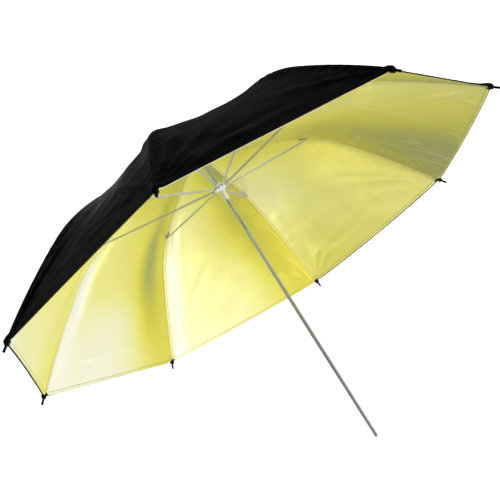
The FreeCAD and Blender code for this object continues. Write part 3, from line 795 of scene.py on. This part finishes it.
ALONG_SHAFT = (3500, 60, 3500)
materials = {
    "shaft_steel": metal_material("shaft_steel", (0.50, 0.55, 0.57), 0.32, ALONG_SHAFT, 0.35),
    "rib_steel": metal_material("rib_steel", (0.70, 0.73, 0.71), 0.38, (900, 900, 900), 0.35),
    "stretcher_steel": metal_material("stretcher_steel", (0.70, 0.73, 0.73), 0.36, (800, 800, 800), 0.5),
    "wire_steel": metal_material("wire_steel", (0.66, 0.67, 0.66), 0.32, (1500, 1500, 1500), 0.5),
    "runner_plastic": plastic_material("runner_plastic", (0.84, 0.90, 0.98), 0.35, 0.3),
    "notch_plastic": plastic_material("notch_plastic", (0.80, 0.80, 0.78), 0.45, 0.1),
    "pale_plastic": plastic_material("pale_plastic", (0.66, 0.66, 0.64), 0.5, 0.1),
    "tip_plastic": plastic_material("tip_plastic", (0.003, 0.003, 0.004), 0.55, 0.0, 0.15),
}
cover_cloth, lining_cloth = cover_material(), lining_material()
slots = {s["node"]: s["material_slot"] for s in frame["record"]["subparts"]}
for node, piece in frame["nodes"].items():
    if slots[node] in materials:
        piece.data.materials.clear()
        piece.data.materials.append(materials[slots[node]])


# ---------------------------------------------------------------- canopy pieces

# how a half gore would be gathered, which gather() reads but doesn't apply: the lean of the direction it is drawn
# in along (degrees), the height of the line it is drawn to, and the share of its width that is left
GATHERS = {
    ("cover", "crown"): (6, 0.004, 0.29),
    ("cover", "middle"): (6, 0.004, 0.175),
    ("cover", "rim"): (14, 0.005, 0.112),
    ("lining", "crown"): (4, -0.003, 0.15),
    ("lining", "middle"): (4, -0.003, 0.10),
    ("lining", "rim"): (12, -0.001, 0.09),
}
NODE_OF = {"cover": "outer_cover", "lining": "gold_lining"}


def gather(piece, kind, band):
    """Give a half gore its own mesh. Its gather values and the run of its band are worked out, but it isn't folded
    against its rib.
    """
    lean, lift, share_kept = GATHERS[kind, band]
    lean = math.radians(lean)
    reach = (FLEX_ALONG, RIB_LENGTH) if band == "rim" else (0.0, FLEX_ALONG)
    radius, height, _ = rib_line(np.array(reach))
    run = np.array([radius[1] - radius[0], height[1] - height[0]])
    run = run / np.linalg.norm(run)
    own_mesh(piece)


for kind, cloth in (("cover", cover_cloth), ("lining", lining_cloth)):
    for rib in range(RIBS):
        for side in (1, -1):
            for band in BANDS:
                piece = half_gore(kind, rib, side, band)
                piece.data.materials.append(cloth)
                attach(piece, f"rib_end_{rib + 1}" if band == "rim" else f"rib_{rib + 1}")
                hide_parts(NODE_OF[kind])
                gather(piece, kind, band)

for rib in range(RIBS):
    strip = seam_strip(rib)
    strip.data.materials.append(cover_cloth)
    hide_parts(NODE_OF["cover"])
    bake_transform(strip)


# ---------------------------------------------------------------- floor, light and camera

FLOOR_DROP = 0.9
RIM_HEIGHT = float(rib_line(np.array([RIB_LENGTH]))[1][0])


def make_floor():
    mesh = bpy.data.meshes.new("floor")
    reach = 14.0
    level = -FLOOR_DROP
    mesh.from_pydata([(-reach, -reach, level), (reach, -reach, level), (reach, reach, level),
                      (-reach, reach, level)], [], [(0, 1, 2, 3)])
    floor = bpy.data.objects.new("floor", mesh)
    bpy.context.scene.collection.objects.link(floor)
    mesh.materials.append(floor_material())


def area_light(name, place, target, size, watts, colour=(1, 1, 1)):
    data = bpy.data.lights.new(name, "AREA")
    data.size = size
    data.energy = watts
    data.color = colour
    light = bpy.data.objects.new(name, data)
    bpy.context.scene.collection.objects.link(light)
    light.location = place
    light.visible_camera = False
    light.rotation_euler = (Vector(target) - Vector(place)).to_track_quat("-Z", "Y").to_euler()
    return light


def make_light():
    world = bpy.data.worlds.new("studio")
    world.use_nodes = True
    tree = world.node_tree
    background = tree.nodes["Background"]
    background.inputs["Color"].default_value = (1, 1, 1, 1)
    # faint as a light, but white to the camera, like the floor
    level = tree.nodes.new("ShaderNodeMath")
    level.operation = "MAXIMUM"
    level.inputs[1].default_value = 0.06
    tree.links.new(tree.nodes.new("ShaderNodeLightPath").outputs["Is Camera Ray"], level.inputs[0])
    tree.links.new(level.outputs[0], background.inputs["Strength"])
    bpy.context.scene.world = world
    middle = (0, 0.42, 0)
    area_light("key", (1.5, -0.4, 1.2), middle, 1.0, 35)
    area_light("front", (0, -1.7, 0.1), middle, 1.0, 9)
    area_light("front_right", (1.3, -1.1, -0.1), middle, 1.0, 4)
    area_light("low_left", (-0.386, 0.05, -0.474), middle, 0.3, 1.05)
    area_light("near_left", (-0.5, -0.25, -0.1), middle, 0.4, 2.2)
    area_light("behind", (-0.2, 0.78, -0.72), middle, 0.5, 3)


def make_camera():
    """Looks down on the open side of the canopy, from the left of the shaft's free end."""
    azimuth, elevation, roll = (math.radians(a) for a in (-38.56, 68.97, 8.30))
    distance, shift_right, shift_up = 1.6886, -0.01375, -0.00346
    back = Vector((math.sin(azimuth) * math.cos(elevation), -math.cos(azimuth) * math.cos(elevation),
                   math.sin(elevation)))
    level = Vector((math.cos(azimuth), math.sin(azimuth), 0))
    upright = back.cross(level)
    right = math.cos(roll) * level + math.sin(roll) * upright
    up = math.cos(roll) * upright - math.sin(roll) * level
    place = Vector((0, RIM_HEIGHT, 0)) + back * distance + right * shift_right + up * shift_up
    data = bpy.data.cameras.new("camera")
    data.sensor_width = 36
    data.lens = 69.4
    data.clip_start = 0.05
    camera = bpy.data.objects.new("camera", data)
    bpy.context.scene.collection.objects.link(camera)
    turn = Matrix((right, up, back)).transposed()
    camera.matrix_world = Matrix.Translation(place) @ turn.to_4x4()
    bpy.context.scene.camera = camera


make_floor()
make_light()
make_camera()
bpy.context.scene.view_settings.view_transform = "Standard"
